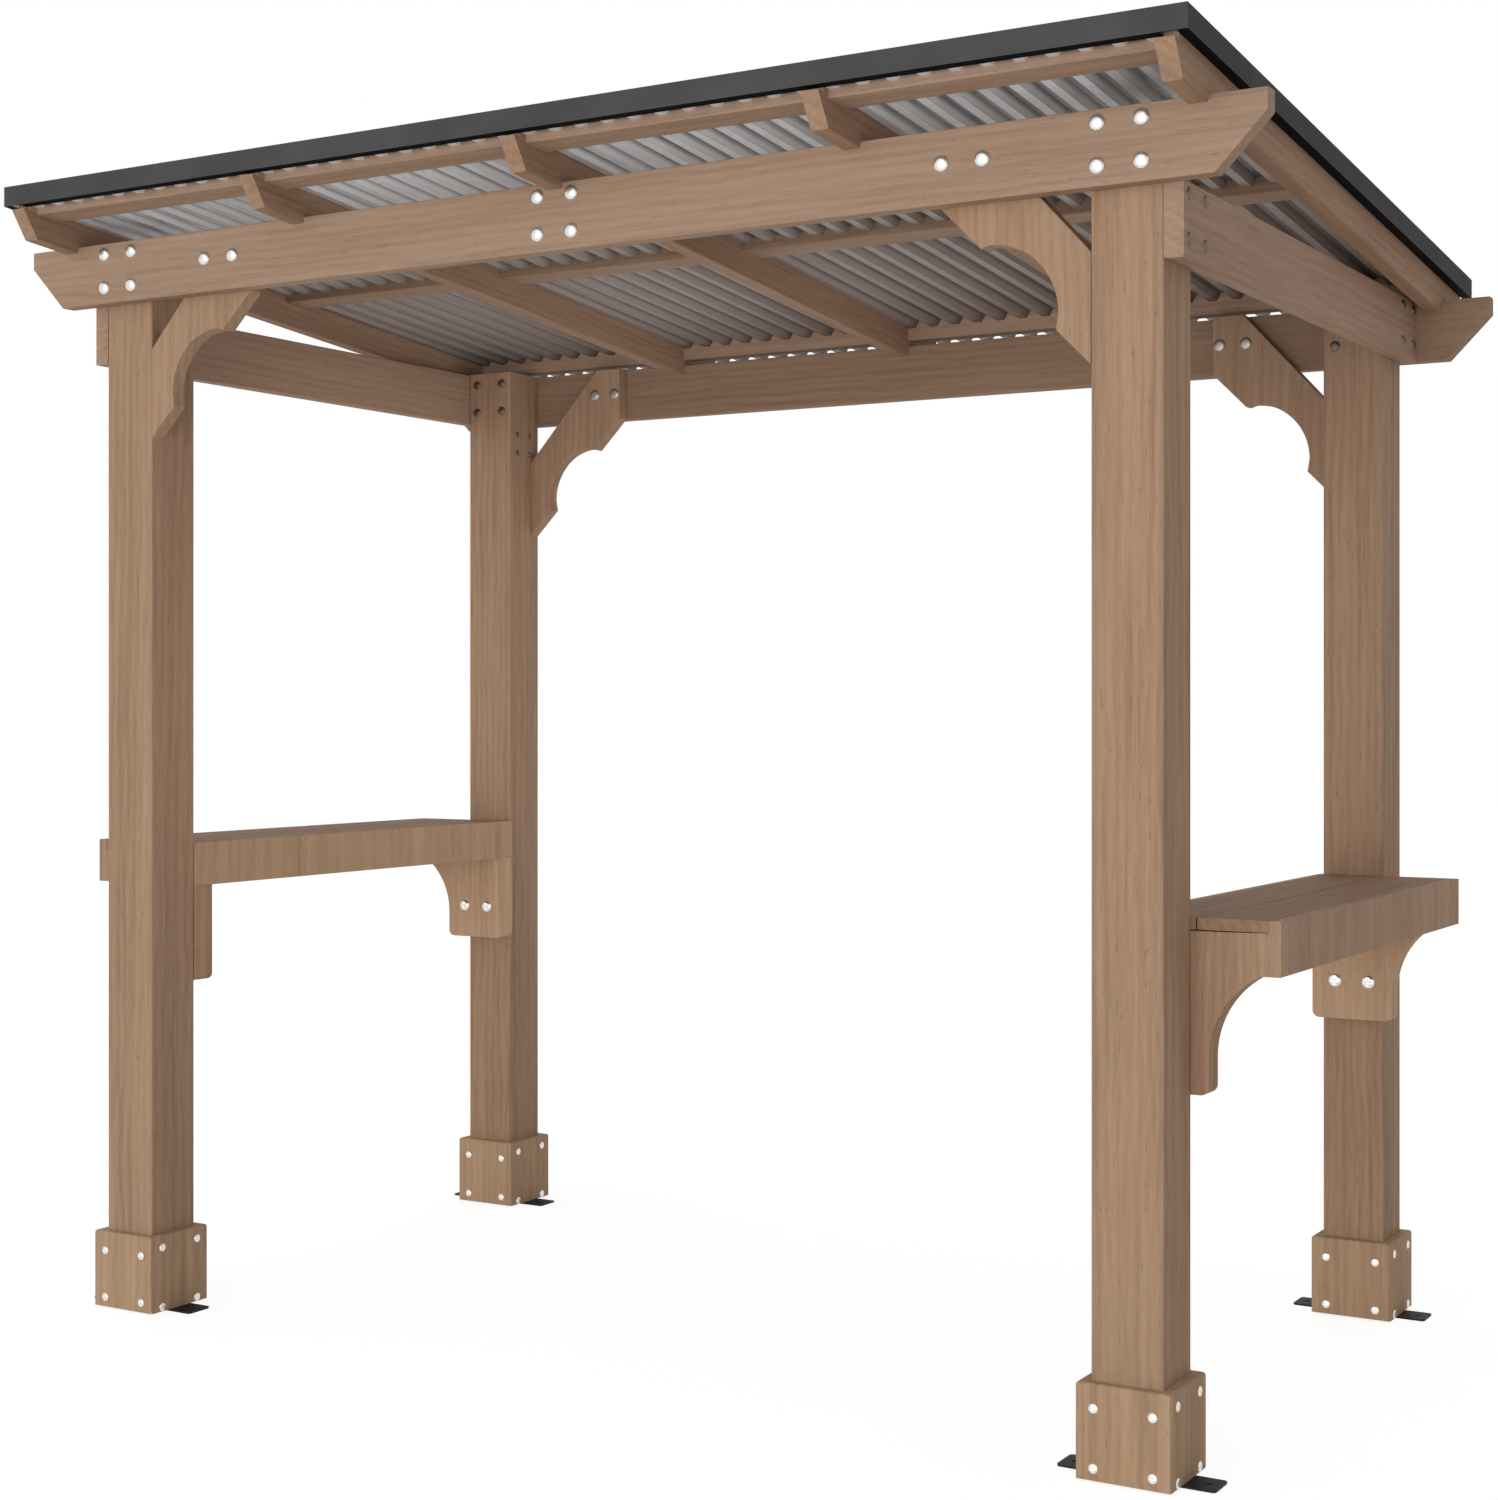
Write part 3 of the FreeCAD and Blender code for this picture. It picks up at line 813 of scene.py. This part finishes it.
# Floor
# A pale seamless studio floor. It looks white to the camera and keeps a soft shadow.
floor_half = 30
shape = bmesh.new()
bmesh.ops.create_grid(shape, x_segments=1, y_segments=1, size=floor_half)
floor_data = bpy.data.meshes.new("studio_floor")
shape.to_mesh(floor_data)
shape.free()
floor = bpy.data.objects.new("studio_floor", floor_data)
bpy.context.scene.collection.objects.link(floor)
paper, tree, surface = new_material("matt white studio paper")
tree.nodes.remove(surface)
ray = add(tree, "ShaderNodeLightPath", {})
seen = add(
    tree,
    "ShaderNodeMath",
    {"operation": "MAXIMUM"},
    {0: ray.outputs["Is Camera Ray"], 1: ray.outputs["Is Glossy Ray"]},
)
matt = add(tree, "ShaderNodeBsdfDiffuse", {"Color": linear("#F3F2F0")})
faint = add(tree, "ShaderNodeBsdfDiffuse", {"Color": linear("#8C8C8C")})
glow = add(tree, "ShaderNodeEmission", {"Color": (1, 1, 1, 1), "Strength": 0.86})
bright = add(tree, "ShaderNodeAddShader", {}, {0: faint.outputs[0], 1: glow.outputs[0]})
either = add(
    tree, "ShaderNodeMixShader", {}, {0: seen.outputs[0], 1: matt.outputs[0], 2: bright.outputs[0]}
)
tree.links.new(either.outputs[0], tree.nodes["Material Output"].inputs["Surface"])
floor_data.materials.append(paper)

# Studio light
# A soft low key from the front left, a wide softbox beside the camera that reaches in under
# the roof, a weak fill inside the frame for the faces of the left side, and an even pale room
# that is dimmer to the right.
key_data = bpy.data.lights.new("key", "SUN")
key_data.energy = 0.5
key_data.angle = math.radians(30)
key_side = Vector((-0.2, -1.0, 0.1))
key = bpy.data.objects.new("key", key_data)
key.rotation_euler = key_side.to_track_quat("Z", "Y").to_euler()
bpy.context.scene.collection.objects.link(key)

softbox_data = bpy.data.lights.new("softbox", "AREA")
softbox_data.energy = 252
softbox_data.shape = "RECTANGLE"
softbox_data.size = 5.0
softbox_data.size_y = 1.6
softbox_aim = Vector((0, 0, 1.6))
softbox = bpy.data.objects.new("softbox", softbox_data)
softbox.location = (1.8, -10.0, 0.9)
softbox.rotation_euler = (softbox.location - softbox_aim).to_track_quat("Z", "Y").to_euler()
softbox.visible_camera = False
bpy.context.scene.collection.objects.link(softbox)

fill_data = bpy.data.lights.new("fill", "AREA")
fill_data.energy = 2.6
fill_data.size = 1.2
fill_data.spread = math.radians(75)
fill = bpy.data.objects.new("fill", fill_data)
fill.location = (0.9, 0.1, 1.6)
fill.rotation_euler = Vector((1, 0, 0)).to_track_quat("Z", "Y").to_euler()
fill.visible_camera = False
bpy.context.scene.collection.objects.link(fill)

world = bpy.data.worlds.new("studio")
bpy.context.scene.world = world
world.use_nodes = True
tree = world.node_tree
tree.nodes.remove(tree.nodes["Background"])
ray = add(tree, "ShaderNodeLightPath", {})
glossy = add(
    tree,
    "ShaderNodeMath",
    {"operation": "MAXIMUM"},
    {0: ray.outputs["Is Glossy Ray"], 1: ray.outputs["Is Transmission Ray"]},
)
seen = add(
    tree, "ShaderNodeMath", {"operation": "MAXIMUM"}, {0: ray.outputs["Is Camera Ray"], 1: glossy.outputs[0]}
)
direction = add(tree, "ShaderNodeTexCoord", {})
rightwards = add(tree, "ShaderNodeSeparateXYZ", {}, {0: direction.outputs["Generated"]})
level = add(
    tree,
    "ShaderNodeMapRange",
    {"From Min": -0.2, "From Max": 0.8, "To Min": 0.75, "To Max": 0.43},
    {"Value": rightwards.outputs[0]},
)
room = add(tree, "ShaderNodeBackground", {"Color": (1, 1, 1, 1)}, {"Strength": level.outputs["Result"]})
white = add(tree, "ShaderNodeBackground", {"Color": (1, 1, 1, 1), "Strength": 1})
either = add(
    tree, "ShaderNodeMixShader", {}, {0: seen.outputs[0], 1: room.outputs[0], 2: white.outputs[0]}
)
tree.links.new(either.outputs[0], tree.nodes["World Output"].inputs["Surface"])
bpy.context.scene.view_settings.view_transform = "Standard"
